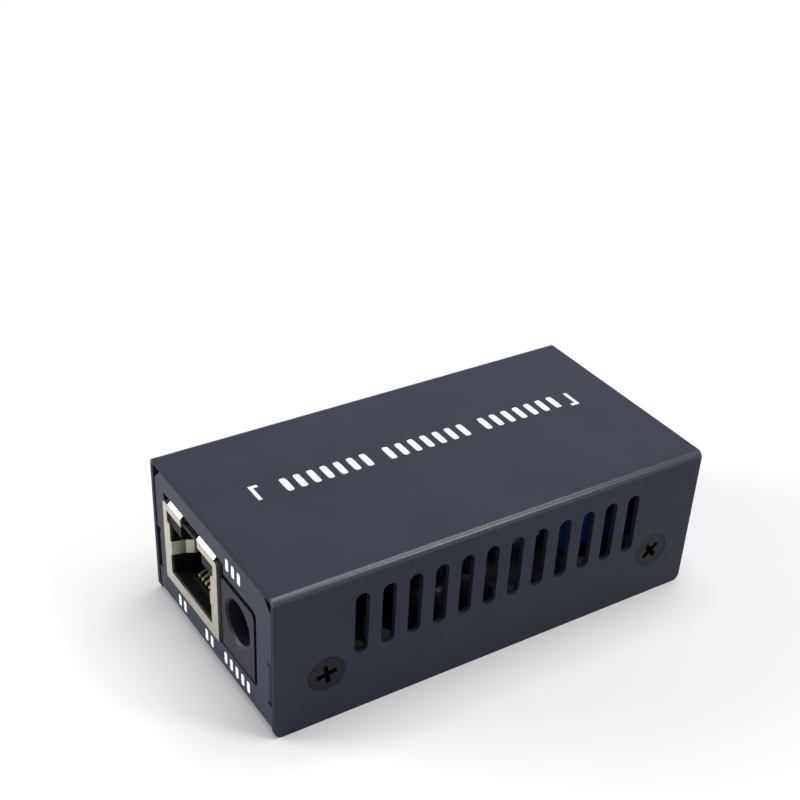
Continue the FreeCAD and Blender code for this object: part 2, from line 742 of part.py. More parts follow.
def make_jack_housing():
    """Moulded insert of the network jack: plug cavity, latch channel and an open floor."""
    body = new_body("jack_housing")
    gap = "(shield_thick + 0.05)"
    face, back = behind_jack(gap), behind_jack(f"jack_long - {gap}")
    block(body, (f"jack_left + {gap}", face, "board_top"),
          (f"jack_right - {gap}", back, f"jack_top - {gap} - 0.05"))
    for low, high in (("jack_left + 0.1", "jack_left + 1"), ("jack_right - 1", "jack_right - 0.1")):
        block(body, (low, behind_jack("window_near + 0.2"), "window_low + 0.2"),
              (high, behind_jack("window_far - 0.2"), "window_high - 0.2"))
    cavity = new_sketch(body, "plug_cavity", "XZ_Plane", "jack_face")
    plug, channel = ([f"{JACK_MIDDLE} {sign} {half}" for sign in "-+"]
                     for half in ("plug_half", "channel_half"))
    polygon(cavity, ((plug[0], "plug_floor"), (plug[1], "plug_floor"), (plug[1], "plug_top"),
                     (channel[1], "plug_top"), (channel[1], "channel_top"),
                     (channel[0], "channel_top"), (channel[0], "plug_top"),
                     (plug[0], "plug_top")))
    cut(body, cavity, "plug_deep")
    for x in ("mouth_left", "mouth_right"):
        carve(body, (f"{x} - 0.3", behind_jack("0"), "finger_low - 0.2"),
              (f"{x} + 0.3", behind_jack("1.6"), "finger_high + 0.2"))
    carve(body, (f"{JACK_MIDDLE} - comb_half - 0.05", behind_jack("comb_near - 0.05"), "board_top - 1"),
          (f"{JACK_MIDDLE} + comb_half + 0.05", behind_jack("comb_far + 0.05"), "comb_top + 0.06"))
    return body


def make_jack_comb():
    """Carrier that keeps the network jack's eight contacts apart and forms its floor."""
    body = new_body("jack_contact_comb")
    block(body, (f"{JACK_MIDDLE} - comb_half", behind_jack("comb_near"), "board_top"),
          (f"{JACK_MIDDLE} + comb_half", behind_jack("comb_far"), "comb_top"))
    left, right = (f"{contact_x(0)} {sign} groove_wide / 2" for sign in "-+")
    first = carve(body, (left, behind_jack("comb_near + 0.6"), "comb_floor"),
                  (right, behind_jack("comb_far - 0.8"), "comb_top + 1"))
    repeat(body, [first], "X_Axis", "contact_count", "contact_pitch")
    for index in (0, 1):
        tail = contact_tail(index)
        left, right = (f"{contact_x(index)} {sign} groove_wide / 2" for sign in "-+")
        well = carve(body, (left, behind_jack(f"{tail} - 0.3"), "board_top - 1"),
                     (right, behind_jack(f"{tail} + 0.3"), "comb_floor + 0.2"))
        repeat(body, [well], "X_Axis", "contact_count / 2", "(2 * contact_pitch)")
    return body


def make_jack_contacts():
    """Eight gilt spring wires that rise backwards from the front of the floor."""
    wires = []
    for index in range(int(number("contact_count"))):
        body = new_body(f"jack_contact_{index + 1}")
        side = new_sketch(body, body.Name + "_side", "YZ_Plane",
                          f"{contact_x(index)} - contact_wide / 2")
        tail = contact_tail(index)
        floor, foot = 1.0, "tail_foot - board_top"
        outline = ((f"{tail} - 0.15", foot), (f"{tail} - 0.15", floor), ("3.3", floor),
                   ("2.7", 1.7), ("2.85", 2.05), ("10.1", 6.1), ("10.25", 5.85),
                   ("3.35", 1.9), ("3.6", 1.3), (f"{tail} + 0.15", 1.3),
                   (f"{tail} + 0.15", foot))
        polygon(side, [(behind_jack(depth), f"board_top + {rise}") for depth, rise in outline])
        grow(body, side, "contact_wide")
        wires.append(body)
    return group("jack_contacts", wires)


# ---- power jack --------------------------------------------------------------------------------

def behind_power(depth):
    """A station in Y, counted backwards from the power jack's face."""
    return f"({depth} - power_face)"


def make_power_housing():
    """Moulded barrel jack: square front, round-backed body, bore for the plug."""
    body = new_body("power_jack_housing")
    left, right = "power_middle - power_half", "power_middle + power_half"
    step = behind_power("power_flange")
    block(body, (left, behind_power("0"), "board_top"), (right, step, "power_top"))
    dress(body, "Fillet", "power_corner", lambda e: along(e, 1) and near(e, z="power_top"))
    block(body, (left, f"{step} - 0.5", "board_top"),
          (right, behind_power("power_long"), "power_axis"))
    lying_rod(body, "Additive", "power_middle", "power_axis", f"{step} - 0.5",
              behind_power("power_long"), "power_half")
    lying_rod(body, "Subtractive", "power_middle", "power_axis", behind_power("-1"),
              behind_power("power_deep"), "power_bore")
    dress(body, "Chamfer", "power_lip",
          lambda e: isinstance(e.Curve, Part.Circle) and near(e, y=behind_power("0"))
          and abs(e.Curve.Radius - number("power_bore")) < 0.01)
    lying_rod(body, "Subtractive", "power_middle", "power_axis", behind_power("power_deep - 1"),
              behind_power("power_long + 1"), "pin_radius")
    carve(body, ("power_middle - blade_half - 0.1", behind_power("5.8"), "board_top - 1"),
          ("power_middle + blade_half + 0.1", behind_power("power_deep - 0.2"), "power_axis - 2"))
    return body


def make_power_pin():
    """Turned centre pin riveted through the back, with its solder blade."""
    body = new_body("power_jack_pin")
    half = new_sketch(body, "power_pin_half", "YZ_Plane", "power_middle", up="power_axis")
    back = behind_power("power_long")
    polygon(half, ((behind_power("pin_sunk"), "0"), (behind_power("pin_sunk"), "pin_radius / 2"),
                   (behind_power("pin_sunk + 0.4"), "pin_radius"), (back, "pin_radius"),
                   (back, "1.6"), (f"{back} + 0.5", "1.6"), (f"{back} + 0.5", "0")))
    turn(body, half, "H_Axis")
    block(body, ("power_middle - blade_half", f"{back} + blade_thick / 2", "tail_foot"),
          ("power_middle + blade_half", f"{back} + blade_thick * 1.5", "power_axis"))
    return body


def make_power_spring():
    """Leaf that presses on the plug's sleeve from below."""
    body = new_body("power_jack_spring")
    side = new_sketch(body, "power_spring_side", "YZ_Plane", "power_middle - blade_half")
    foot = "tail_foot - board_top"
    outline = (("5.8", foot), ("5.8", 2.9), ("7.0", 4.05), ("7.5", 4.05), ("9.0", 3.1),
               ("8.85", 2.85), ("7.4", 3.72), ("7.1", 3.72), ("6.1", 2.75), ("6.1", foot))
    polygon(side, [(behind_power(depth), f"board_top + {rise}") for depth, rise in outline])
    grow(body, side, "2 * blade_half")
    return body


def make_power_switch():
    """Blade on the power jack's side."""
    body = new_body("power_jack_side_blade")
    x = "power_middle + power_half"
    block(body, (x, behind_power("7.1 - blade_half"), "tail_foot"),
          (f"{x} + blade_thick", behind_power("7.1 + blade_half"), "power_axis - 2"))
    return body


# ---- optical port and module -------------------------------------------------------------------

def make_port_housing():
    """Moulded socket for the fibre's plug, shouldered behind the rear panel."""
    body = new_body("port_housing")
    block(body, ("port_middle - port_half", "port_start", "port_axis - port_rise"),
          ("port_middle + port_half", "port_end", "port_axis + port_rise"))
    dress(body, "Fillet", "port_edge", lambda e: along(e, 1))
    shoulder = "(tray_rear - sheet_thick - 0.05)"
    wide, tall = "(port_half + collar_more)", "(port_rise + collar_more)"
    block(body, (f"port_middle - {wide}", f"{shoulder} - port_collar", f"port_axis - {tall}"),
          (f"port_middle + {wide}", shoulder, f"port_axis + {tall}"))
    for side in (1, -1):
        middle = f"port_middle + {side} * foot_reach"
        block(body, (f"{middle} - foot_half", "foot_near - foot_half", "board_top"),
              (f"{middle} + foot_half", "foot_near + foot_half", "port_axis - port_rise + 0.5"))
        block(body, (f"{middle} - foot_peg", "foot_near - foot_peg", "board_under"),
              (f"{middle} + foot_peg", "foot_near + foot_peg", "board_top + 0.5"))
    bay = new_sketch(body, "port_bay", "XZ_Plane", "bay_deep - port_end")
    left, right = "port_middle - bay_half", "port_middle + bay_half"
    low, high = "port_axis - bay_rise", "port_axis + bay_rise"
    polygon(bay, ((left, low), (right, low), (right, high), ("port_middle + key_half", high),
                  ("port_middle + key_half", f"{high} + key_high"),
                  ("port_middle - key_half", f"{high} + key_high"),
                  ("port_middle - key_half", high), (left, high)))
    cut(body, bay, "bay_deep + 1")
    lying_rod(body, "Subtractive", "port_middle", "port_axis", "port_start - 1",
              "port_end - bay_deep + 0.5", "sleeve_outer + 0.05")
    return body


def make_port_insert():
    """Inner piece of the port: base plate, ferrule tube and two latch hooks."""
    body = new_body("port_insert")
    floor = "(port_end - bay_deep)"
    plate = f"({floor} + 1.2)"
    block(body, ("port_middle - bay_half + 0.05", floor, "port_axis - bay_rise + 0.05"),
          ("port_middle + bay_half - 0.05", plate, "port_axis + bay_rise - 0.05"))
    lying_rod(body, "Additive", "port_middle", "port_axis", f"{plate} - 0.5", "tube_end",
              "tube_outer")
    lying_rod(body, "Subtractive", "port_middle", "port_axis", f"{floor} - 1", "tube_end + 1",
              "sleeve_outer + 0.05")
    for side in (1, -1):
        hook = new_sketch(body, f"port_hook_{side}", "XY_Plane", "port_axis - 1.5")
        outline = (("4.3", f"{plate} - 0.5"), ("4.3", f"{plate} + 6.2"), ("3.9", f"{plate} + 6.6"),
                   ("3.0", f"{plate} + 5.6"), ("3.0", f"{plate} + 5.0"), ("3.5", f"{plate} + 4.8"),
                   ("3.5", f"{plate} - 0.5"))
        polygon(hook, [(f"port_middle + {side} * {x}", y) for x, y in outline])
        grow(body, hook, "3")
    return body


def make_split_sleeve():
    """Slit ceramic sleeve that lines up the ferrules."""
    body = new_body("port_sleeve")
    lying_rod(body, "Additive", "port_middle", "port_axis", "sleeve_start", "sleeve_end",
              "sleeve_outer")
    lying_rod(body, "Subtractive", "port_middle", "port_axis", "sleeve_start - 1",
              "sleeve_end + 1", "sleeve_inner")
    carve(body, ("port_middle - 0.12", "sleeve_start - 1", "port_axis"),
          ("port_middle + 0.12", "sleeve_end + 1", "port_axis + 3"))
    return body


def make_port_clip():
    """Sprung saddle of sheet over the port's top and sides."""
    body = new_body("port_clip")
    inner, top = "port_half", "(port_axis + port_rise)"
    outer = "(port_half + clip_thick)"
    saddle = new_sketch(body, "clip_saddle", "XZ_Plane", "-clip_end")
    polygon(saddle, ((f"port_middle - {outer}", "clip_low"),
                     (f"port_middle - {outer}", f"{top} + clip_thick"),
                     (f"port_middle + {outer}", f"{top} + clip_thick"),
                     (f"port_middle + {outer}", "clip_low"),
                     (f"port_middle + {inner}", "clip_low"), (f"port_middle + {inner}", top),
                     (f"port_middle - {inner}", top), (f"port_middle - {inner}", "clip_low")))
    grow(body, saddle, "clip_end - clip_start")
    dress(body, "Fillet", "clip_thick * 1.5",
          lambda e: along(e, 1) and near(e, z=f"{top} + clip_thick"))
    for side in (1, -1):
        wing = new_sketch(body, f"clip_wing_{side}", "XY_Plane", "clip_low + 1.2")
        outline = ((inner, "clip_end - 0.2"), (outer, "clip_end - 0.2"),
                   (f"{outer} + 1.1", "clip_end - 4"), (f"{outer} + 1.0", "clip_end - 4.8"),
                   (f"{outer} + 0.75", "clip_end - 4.6"), (f"{outer} + 0.8", "clip_end - 4"),
                   (outer, "clip_end - 1.4"), (inner, "clip_end - 1.4"))
        polygon(wing, [(f"port_middle + {side} * ({x})", y) for x, y in outline])
        grow(body, wing, "3")
    return body


def make_optical_block():
    """Machined block that joins the port, the transmitter and the receiver."""
    body = new_body("optical_block")
    half = "block_half"
    block(body, (f"port_middle - {half}", "block_start", f"port_axis - {half}"),
          (f"port_middle + {half}", "block_end", f"port_axis + {half}"))
    dress(body, "Chamfer", "0.6", lambda e: along(e, 1))
    lying_rod(body, "Additive", "port_middle", "port_axis", "block_end - 0.5", "port_start",
              "nose_radius")
    lying_rod(body, "Additive", "port_middle", "port_axis", "port_start - 0.5", "port_start + 4.8",
              "sleeve_inner")
    return body


def make_transmitter_can():
    """Laser in a metal can, its header against the block's front."""
    body = new_body("transmitter_can")
    lying_rod(body, "Additive", "port_middle", "port_axis", "block_start - can_thick",
              "block_start", "can_flange")
    lying_rod(body, "Additive", "port_middle", "port_axis", "block_start - can_thick - 0.5",
              "block_start - 0.5", "can_radius")
    return body


def make_receiver_can():
    """Photodiode in a metal can on the block's left side."""
    body = new_body("receiver_can")
    wall = "port_middle - block_half"
    middle = ("(block_start + block_end) / 2", "port_axis")
    solid(body, "AdditiveCylinder", "YZ_Plane", (*middle, f"{wall} - can_thick"),
          Radius="can_flange - 0.2", Height="can_thick")
    solid(body, "AdditiveCylinder", "YZ_Plane", (*middle, f"{wall} - can_thick - 0.5"),
          Radius="can_radius - 0.2", Height="1")
    return body


def bent_lead(name, role, lift, start, knee, height):
    """A square wire that leaves a can level, then drops to the board."""
    body = new_body(name)
    side = new_sketch(body, name + "_side", role, f"{lift} - lead_half")
    thick = "(2 * lead_half)"
    polygon(side, ((start, height), (start, f"{height} + {thick}"),
                   (f"({knee}) - {thick}", f"{height} + {thick}"), (f"({knee}) - {thick}", "board_top"),
                   (knee, "board_top"), (knee, height)))
    grow(body, side, thick)
    return body


def make_optical_leads():
    """Wires of the two cans, bent down to the board."""
    leads = []
    header = "block_start - can_thick - 0.5"
    for side in (1, -1):
        for level, run in (("0.8", "2.6"), ("-1.2", "1.2")):
            leads.append(bent_lead(f"transmitter_lead_{len(leads) + 1}", "YZ_Plane",
                                   f"port_middle + {side} * lead_spread", header,
                                   f"{header} - {run}", f"port_axis + {level}"))
    wall = "port_middle - block_half - can_thick - 0.5"
    for step in (-1, 0, 1):
        station = f"(block_start + block_end) / 2 + {step} * lead_spread"
        leads.append(bent_lead(f"receiver_lead_{step + 2}", "XZ_Plane", f"-({station})",
                               wall, f"{wall} - 1.05", "port_axis"))
    return group("optical_leads", leads)


# ---- parts on the board ------------------------------------------------------------------------

def on_board(body, x, y, half_x, half_y, low, high):
    """A box centred at (x, y) between two heights over the board."""
    return block(body, (f"{x} - ({half_x})", f"{y} - ({half_y})", f"board_top + ({low})"),
                 (f"{x} + ({half_x})", f"{y} + ({half_y})", f"board_top + ({high})"))


def lead_row(name, role, lift, start, out, level, axis, count, spacing, wide):
    """A row of gull-wing leads: out of the body level, down, and flat on the board."""
    body = new_body(name)
    side = new_sketch(body, name + "_side", role, lift)
    sign = "+" if out > 0 else "-"
    steps = (("0", level), ("0.55", level), ("0.75", "0.12"), ("1.3", "0.12"), ("1.3", "0"),
             ("0.6", "0"), ("0.4", f"{level} - 0.15"), ("0", f"{level} - 0.15"))
    polygon(side, [(f"{start} {sign} {run}", f"board_top + {rise}") for run, rise in steps])
    first = grow(body, side, wide)
    repeat(body, [first], axis, count, spacing)
    return body


def make_transformer():
    """Moulded block with the line transformers."""
    body = new_body("line_transformer")
    on_board(body, "trafo_x", "trafo_y", "trafo_half", "trafo_long / 2", "0.1", "trafo_high")
    dress(body, "Chamfer", "0.5", lambda e: near(e, z="board_top + trafo_high"))
    return body


def make_transformer_leads():
    rows = []
    for out in (1, -1):
        rows.append(lead_row(f"trafo_leads_{out + 2}", "XZ_Plane", "4.45 - trafo_y - 0.25",
                             f"trafo_x + {out} * trafo_half", out, "1.6", "Y_Axis", "8", "1.27",
                             "0.5"))
    return group("line_transformer_leads", rows)


def make_chip():
    """Flat converter chip."""
    body = new_body("converter_chip")
    on_board(body, "chip_x", "chip_y", "chip_half", "chip_half", "0.1", "chip_high")
    dress(body, "Chamfer", "0.7", lambda e: along(e, 2))
    return body


def make_chip_leads():
    rows = []
    for out in (1, -1):
        edge = f"{out} * chip_half"
        rows.append(lead_row(f"chip_leads_x{out + 2}", "XZ_Plane", "4.2 - chip_y - 0.15",
                             f"chip_x + {edge}", out, "0.8", "Y_Axis", "8", "1.2", "0.3"))
        rows.append(lead_row(f"chip_leads_y{out + 2}", "YZ_Plane", "chip_x - 4.2 - 0.15",
                             f"chip_y + {edge}", out, "0.8", "X_Axis", "8", "1.2", "0.3"))
    return group("converter_chip_leads", rows)


def make_driver_chip():
    """Small leadless laser driver."""
    body = new_body("laser_driver_chip")
    on_board(body, "driver_x", "driver_y", "2", "2", "0", "0.9")
    return body


def make_crystal():
    """Quartz crystal in a drawn can with a rolled flange."""
    body = new_body("crystal")
    for name, radius, low, high in (("flange", "2.35", "0", "0.5"), ("can", "2.05", "0.4", "3.6")):
        outline = new_sketch(body, "crystal_" + name, "XY_Plane", f"board_top + {low}",
                             across="crystal_x", up="crystal_y")
        upright_slot(outline, "0", "-3.2", "3.2", radius)
        grow(body, outline, f"{high} - {low}")
    dress(body, "Chamfer", "0.4", lambda e: e.BoundBox.ZMin > number("board_top") + 3.5)
    return body


def make_smoothing_cans():
    """Two aluminium electrolytic cans with a bevelled crown."""
    cans = []
    for step in (0, 1):
        body = new_body(f"smoothing_can_{step + 1}")
        half = upright(body, body.Name + "_half", "tank_x", f"tank_y + {step} * tank_step")
        outline = (("0", "0"), ("tank_radius", "0"), ("tank_radius", "tank_high - 0.4"),
                   ("tank_radius - 0.4", "tank_high"), ("0", "tank_high"))
        polygon(half, [(radius, f"board_top + {height}") for radius, height in outline])
        turn(body, half)
        cans.append(body)
    return group("smoothing_capacitors", cans)


def make_coil():
    """Shielded power inductor."""
    body = new_body("power_inductor")
    on_board(body, "coil_x", "coil_y", "3", "3", "0", "2.8")
    dress(body, "Chamfer", "0.9", lambda e: along(e, 2))
    solid(body, "AdditiveCylinder", "XY_Plane", ("coil_x", "coil_y", "board_top + 2.5"),
          Radius="2.2", Height="0.45")
    return body


def make_regulator():
    """Voltage regulator with a wide heat tab and three legs."""
    body = new_body("voltage_regulator")
    on_board(body, "regulator_x", "regulator_y", "3.25", "1.75", "0.1", "1.7")
    on_board(body, "regulator_x", "regulator_y + 2.4", "1.5", "0.9", "0", "0.35")
    for step in (-1, 0, 1):
        on_board(body, f"regulator_x + {step} * 2.3", "regulator_y - 2.4", "0.35", "0.9", "0", "0.3")
    return body


def make_diode():
    """Input diode with folded end tabs."""
    body = new_body("input_diode")
    on_board(body, "diode_x", "diode_y", "2.1", "1.3", "0.1", "2.2")
    on_board(body, "diode_x", "diode_y", "2.5", "0.75", "0", "0.4")
    dress(body, "Chamfer", "0.3", lambda e: near(e, z="board_top + 2.2"))
    return body


def make_fuse():
    """Resettable fuse."""
    body = new_body("input_fuse")
    on_board(body, "fuse_x", "fuse_y", "1.6", "2.25", "0", "0.9")
    return body


def make_status_lights():
    """Three small light-emitting chips near the front edge."""
    lights = []
    for step in range(3):
        body = new_body(f"status_light_{step + 1}")
        y = f"light_y + {step} * light_step"
        on_board(body, "light_x", y, "0.4", "0.8", "0", "0.3")
        on_board(body, "light_x", y, "0.4", "0.5", "0.2", "0.75")
        lights.append(body)
    return group("status_lights", lights)


def make_small_parts():
    """Chip resistors and capacitors."""
    chips = []
    for x, y, columns, rows, step_x, step_y, turned in BANKS:
        for i in range(columns * rows):
            body = new_body(f"small_part_{len(chips) + 1}")
            halves = ("0.4", "0.8") if turned else ("0.8", "0.4")
            on_board(body, x + (i % columns) * step_x, y + (i // columns) * step_y, *halves,
                     "0", "0.6")
            chips.append(body)
    return group("small_parts", chips)


MAKERS = (
    make_top_cover, make_base_tray, make_cover_screws,
    make_board_posts, make_board_screws, make_circuit_board,
    make_jack_shield, make_jack_housing, make_jack_comb, make_jack_contacts,
    make_power_housing, make_power_pin, make_power_spring, make_power_switch,
    make_port_housing, make_port_insert, make_split_sleeve, make_port_clip,
    make_optical_block, make_transmitter_can, make_receiver_can, make_optical_leads,
    make_transformer, make_transformer_leads, make_chip, make_chip_leads, make_driver_chip,
    make_crystal, make_smoothing_cans, make_coil, make_regulator, make_diode, make_fuse,
    make_status_lights, make_small_parts,
)

subparts = [make() for make in MAKERS]
doc.recompute()

for thing in doc.Objects:
    if {"Invalid", "Error"} & set(thing.State):
        raise RuntimeError(f"{thing.Name} did not rebuild: {thing.State}")
for part in subparts:
    if part.Shape.isNull() or not part.Shape.isValid():
        raise RuntimeError(f"{part.Label} has no valid shape")

os.makedirs("parts", exist_ok=True)
for part in subparts:
    part.Shape.exportStep(f"parts/{part.Label}.step")
    box = part.Shape.BoundBox
    print(f"{part.Label}: {len(part.Shape.Solids)} solid(s), {part.Shape.Volume:.1f} mm3, "
          f"x {box.XMin:.2f}..{box.XMax:.2f}, y {box.YMin:.2f}..{box.YMax:.2f}, "
          f"z {box.ZMin:.2f}..{box.ZMax:.2f}")
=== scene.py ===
import math

import bmesh
import bpy
import numpy as np
from mathutils import Matrix, Vector


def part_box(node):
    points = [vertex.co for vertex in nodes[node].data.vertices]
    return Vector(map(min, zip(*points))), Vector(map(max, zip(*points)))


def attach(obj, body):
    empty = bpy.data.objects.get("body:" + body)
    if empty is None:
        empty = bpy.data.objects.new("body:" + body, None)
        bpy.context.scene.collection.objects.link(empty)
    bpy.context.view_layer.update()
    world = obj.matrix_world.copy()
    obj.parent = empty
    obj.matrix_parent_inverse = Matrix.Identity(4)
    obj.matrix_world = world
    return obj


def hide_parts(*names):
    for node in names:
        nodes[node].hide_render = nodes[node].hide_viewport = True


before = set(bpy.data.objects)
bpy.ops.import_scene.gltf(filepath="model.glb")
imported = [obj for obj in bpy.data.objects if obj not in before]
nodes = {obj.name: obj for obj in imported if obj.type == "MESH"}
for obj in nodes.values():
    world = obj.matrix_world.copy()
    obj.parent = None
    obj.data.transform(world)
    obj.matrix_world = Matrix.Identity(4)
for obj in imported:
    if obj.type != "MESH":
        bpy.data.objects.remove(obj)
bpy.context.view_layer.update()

# %% [markdown]
# The imported model is loaded above: every sheet, socket and chip is already in place, in metres.

# %% A millimetre in metres
MM = 0.001

# %% [markdown]
# Shader maths reads better as arithmetic than as a list of nodes. This small class wraps one
# socket, and each operator on it adds a Math node, so "1 - mask * 0.5" builds what it says.

# %% Sockets that can be added and multiplied
def plug(tree, value, socket):
    """Put a number into a socket, or link a wrapped socket to it."""
    if isinstance(value, Wire):
        tree.links.new(value.socket, socket)
    else:
        socket.default_value = value


class Wire:
    """One output socket; arithmetic on it adds Math nodes to its tree."""

    def __init__(self, tree, socket):
        self.tree, self.socket = tree, socket

    def math(self, operation, first, second):
        node = self.tree.nodes.new("ShaderNodeMath")
        node.operation = operation
        plug(self.tree, first, node.inputs[0])
        plug(self.tree, second, node.inputs[1])
        return Wire(self.tree, node.outputs[0])

    def __add__(self, other):
        return self.math("ADD", self, other)

    __radd__ = __add__

    def __mul__(self, other):
        return self.math("MULTIPLY", self, other)

    __rmul__ = __mul__

    def __rsub__(self, other):
        return self.math("SUBTRACT", other, self)

    def __gt__(self, other):
        return self.math("GREATER_THAN", self, other)

    def __lt__(self, other):
        return self.math("LESS_THAN", self, other)


# %% [markdown]
# A finish is one material built from nodes. The uniform numbers go straight onto the shader's
# sockets. What varies over the surface is worked out from Object coordinates, so a pattern stays
# fixed to the piece from every side.

# %% Materials made of nodes
class Finish:
    """A material with one Principled shader and short helpers for patterns on it."""

    def __init__(self, name, **sockets):
        self.material = bpy.data.materials.new(name)
        self.material.use_nodes = True
        self.tree = self.material.node_tree
        self.shader = self.tree.nodes["Principled BSDF"]
        for label, value in sockets.items():
            self.shader.inputs[label.replace("_", " ")].default_value = value
        self.place = self.node("ShaderNodeTexCoord", output="Object")

    def node(self, kind, settings=None, inputs=None, output=0):
        """Add any node: its settings first, then the values or links of its sockets."""
        node = self.tree.nodes.new(kind)
        for label, value in (settings or {}).items():
            setattr(node, label, value)
        for label, value in (inputs or {}).items():
            plug(self.tree, value, node.inputs[label])
        return Wire(self.tree, node.outputs[output])

    def noise(self, size, detail=2.0, stretch=(1, 1, 1)):
        """Noise whose features are about size millimetres, squeezed along each axis by stretch."""
        spot = self.node("ShaderNodeMapping", inputs={"Vector": self.place, "Scale": stretch})
        return self.node("ShaderNodeTexNoise",
                         inputs={"Vector": spot, "Scale": 1 / (size * MM), "Detail": detail})

    def axis(self, name):
        """Where a point lies along X, Y or Z, in millimetres."""
        return self.node("ShaderNodeSeparateXYZ", inputs={"Vector": self.place}, output=name) * 1000

    def fade(self, value, start, stop):
        """0 where value is at start, 1 at stop, and smooth in between."""
        return self.node("ShaderNodeMapRange", {"interpolation_type": "SMOOTHSTEP"},
                         {"Value": value, "From Min": start, "From Max": stop})

    def tint(self, mask, low, high):
        """Base colour low where mask is 0 and high where it is 1."""
        mix = self.node("ShaderNodeMix", {"data_type": "RGBA"},
                        {"Factor": mask, 6: (*low, 1), 7: (*high, 1)}, output=2)
        self.tree.links.new(mix.socket, self.shader.inputs["Base Color"])

    def rough(self, value):
        """Roughness that follows a wire."""
        self.tree.links.new(value.socket, self.shader.inputs["Roughness"])

    def bump(self, value, height):
        """Raise the surface where value is 1, by height millimetres."""
        normal = self.node("ShaderNodeBump", inputs={"Height": value, "Distance": height * MM,
                                                     "Strength": 1.0})
        self.tree.links.new(normal.socket, self.shader.inputs["Normal"])
        return self


def shade(color, factor):
    """A colour made lighter or darker."""
    return tuple(min(1.0, channel * factor) for channel in color)


# %% [markdown]
# The case is steel sheet with a baked powder coat. Powder melts into a skin with a very fine orange
# peel, so the coat is satin and its highlights break up a little. The cut end of the sheet at the
# cover's front is coloured darker as painted shade, and it is made duller than the faces beside it.
# Along the two long folds a second, smoother coat is mixed in, so that they catch a line of light.
# How strong it is was chosen.

# %% Powder coat of the case
COAT = (0.014, 0.0172, 0.0285)
COVER_CUT_Y, NO_CUT_Y = -33.62, -40.0
FOLD_BEYOND_X, FOLD_ABOVE_Z = 16.7, 21.4


def powder_coat(name, shaded_cut_below_y):
    """Satin coat with a fine peel, darker as painted shade and duller on the cut end, smoother on
    the top folds.
    """
    coat = Finish(name, Specular_IOR_Level=0.16, Coat_Roughness=0.22)
    peel = coat.noise(0.22, 3.0)
    clouds = coat.noise(9.0, 2.0)
    # edge marks the cut end. It is made rougher, and the mottle is zeroed there so that it takes the
    # darkest coat colour as painted shade.
    edge = coat.axis("Y") < shaded_cut_below_y
    mottle_and_cut_shade = (clouds * 0.6 + peel * 0.4) * (1 - edge)
    across = coat.axis("X")
    fold = (across * across > FOLD_BEYOND_X ** 2) * (coat.axis("Z") > FOLD_ABOVE_Z)
    plug(coat.tree, fold * (0.4 + peel * 0.3), coat.shader.inputs["Coat Weight"])
    coat.tint(mottle_and_cut_shade, shade(COAT, 0.72), shade(COAT, 1.75))
    coat.rough(0.42 + clouds * 0.08 + peel * 0.06 + edge * 0.3)
    return coat.bump(peel, 0.012).material


cover_coat = powder_coat("cover_powder_coat", COVER_CUT_Y)
tray_coat = powder_coat("tray_powder_coat", NO_CUT_Y)
print("powder coats made")

# %% [markdown]
# Metals differ mostly in colour and in how their surface was worked. Each gets fine streaks along
# the way it was rolled or drawn, which change its roughness and lift the surface a hair.

# %% Metals
def metal(name, color, roughness, streak=(1, 1, 1), size=0.6, lift=0.003, mottle=0.2):
    """Bare or plated metal with streaks along the squeezed axes."""
    finish = Finish(name, Metallic=1.0)
    streaks = finish.noise(size, 3.0, streak)
    stain = finish.noise(3.5, 2.0)
    finish.tint(stain * 0.6 + streaks * 0.4, shade(color, 1 - mottle), shade(color, 1 + mottle / 3))
    finish.rough(roughness + streaks * 0.14 + stain * 0.08)
    return finish.bump(streaks, lift).material


# %% [markdown]
# Moulded plastics take their grain from the tool that they were moulded in. The grain is a fine
# bump, and the colour drifts only slightly.

# %% Plastics and ceramics
def moulded(name, color, roughness, grain=0.18, lift=0.008, drift=0.14, gloss=0.45):
    """Plastic or ceramic with a fine grain."""
    finish = Finish(name, Specular_IOR_Level=gloss)
    fine = finish.noise(grain, 2.0)
    broad = finish.noise(5.0, 2.0)
    finish.tint(broad * 0.6 + fine * 0.4, shade(color, 1 - drift), shade(color, 1 + drift))
    finish.rough(roughness + fine * 0.1)
    return finish.bump(fine, lift).material


# %% [markdown]
# A circuit board is green because of its solder mask. The copper under the mask shows as slightly
# lighter tracks, here a wave folded onto itself so that the tracks run in steps.

# %% Circuit board
def solder_mask(name):
    """Green mask with tracks: bands of a stepped coordinate, raised a little."""
    mask = Finish(name, Specular_IOR_Level=0.5, Roughness=0.3)
    bend = mask.noise(6.0, 0.0)
    steps = mask.node("ShaderNodeMath", {"operation": "SNAP"},
                      {0: mask.axis("X") + bend * 3, 1: 0.5})
    lane = mask.node("ShaderNodeMath", {"operation": "PINGPONG"},
                     {0: mask.axis("Y") + steps, 1: 0.6})
    track = lane > 0.32
    mask.tint(track * 0.7 + bend * 0.3, (0.003, 0.020, 0.010), (0.007, 0.050, 0.022))
    return mask.bump(track, 0.03).material


# %% [markdown]
# Each node gets the finish of what it is made of. One dictionary keeps this readable: the finish
# on the left, the nodes that carry it on the right.

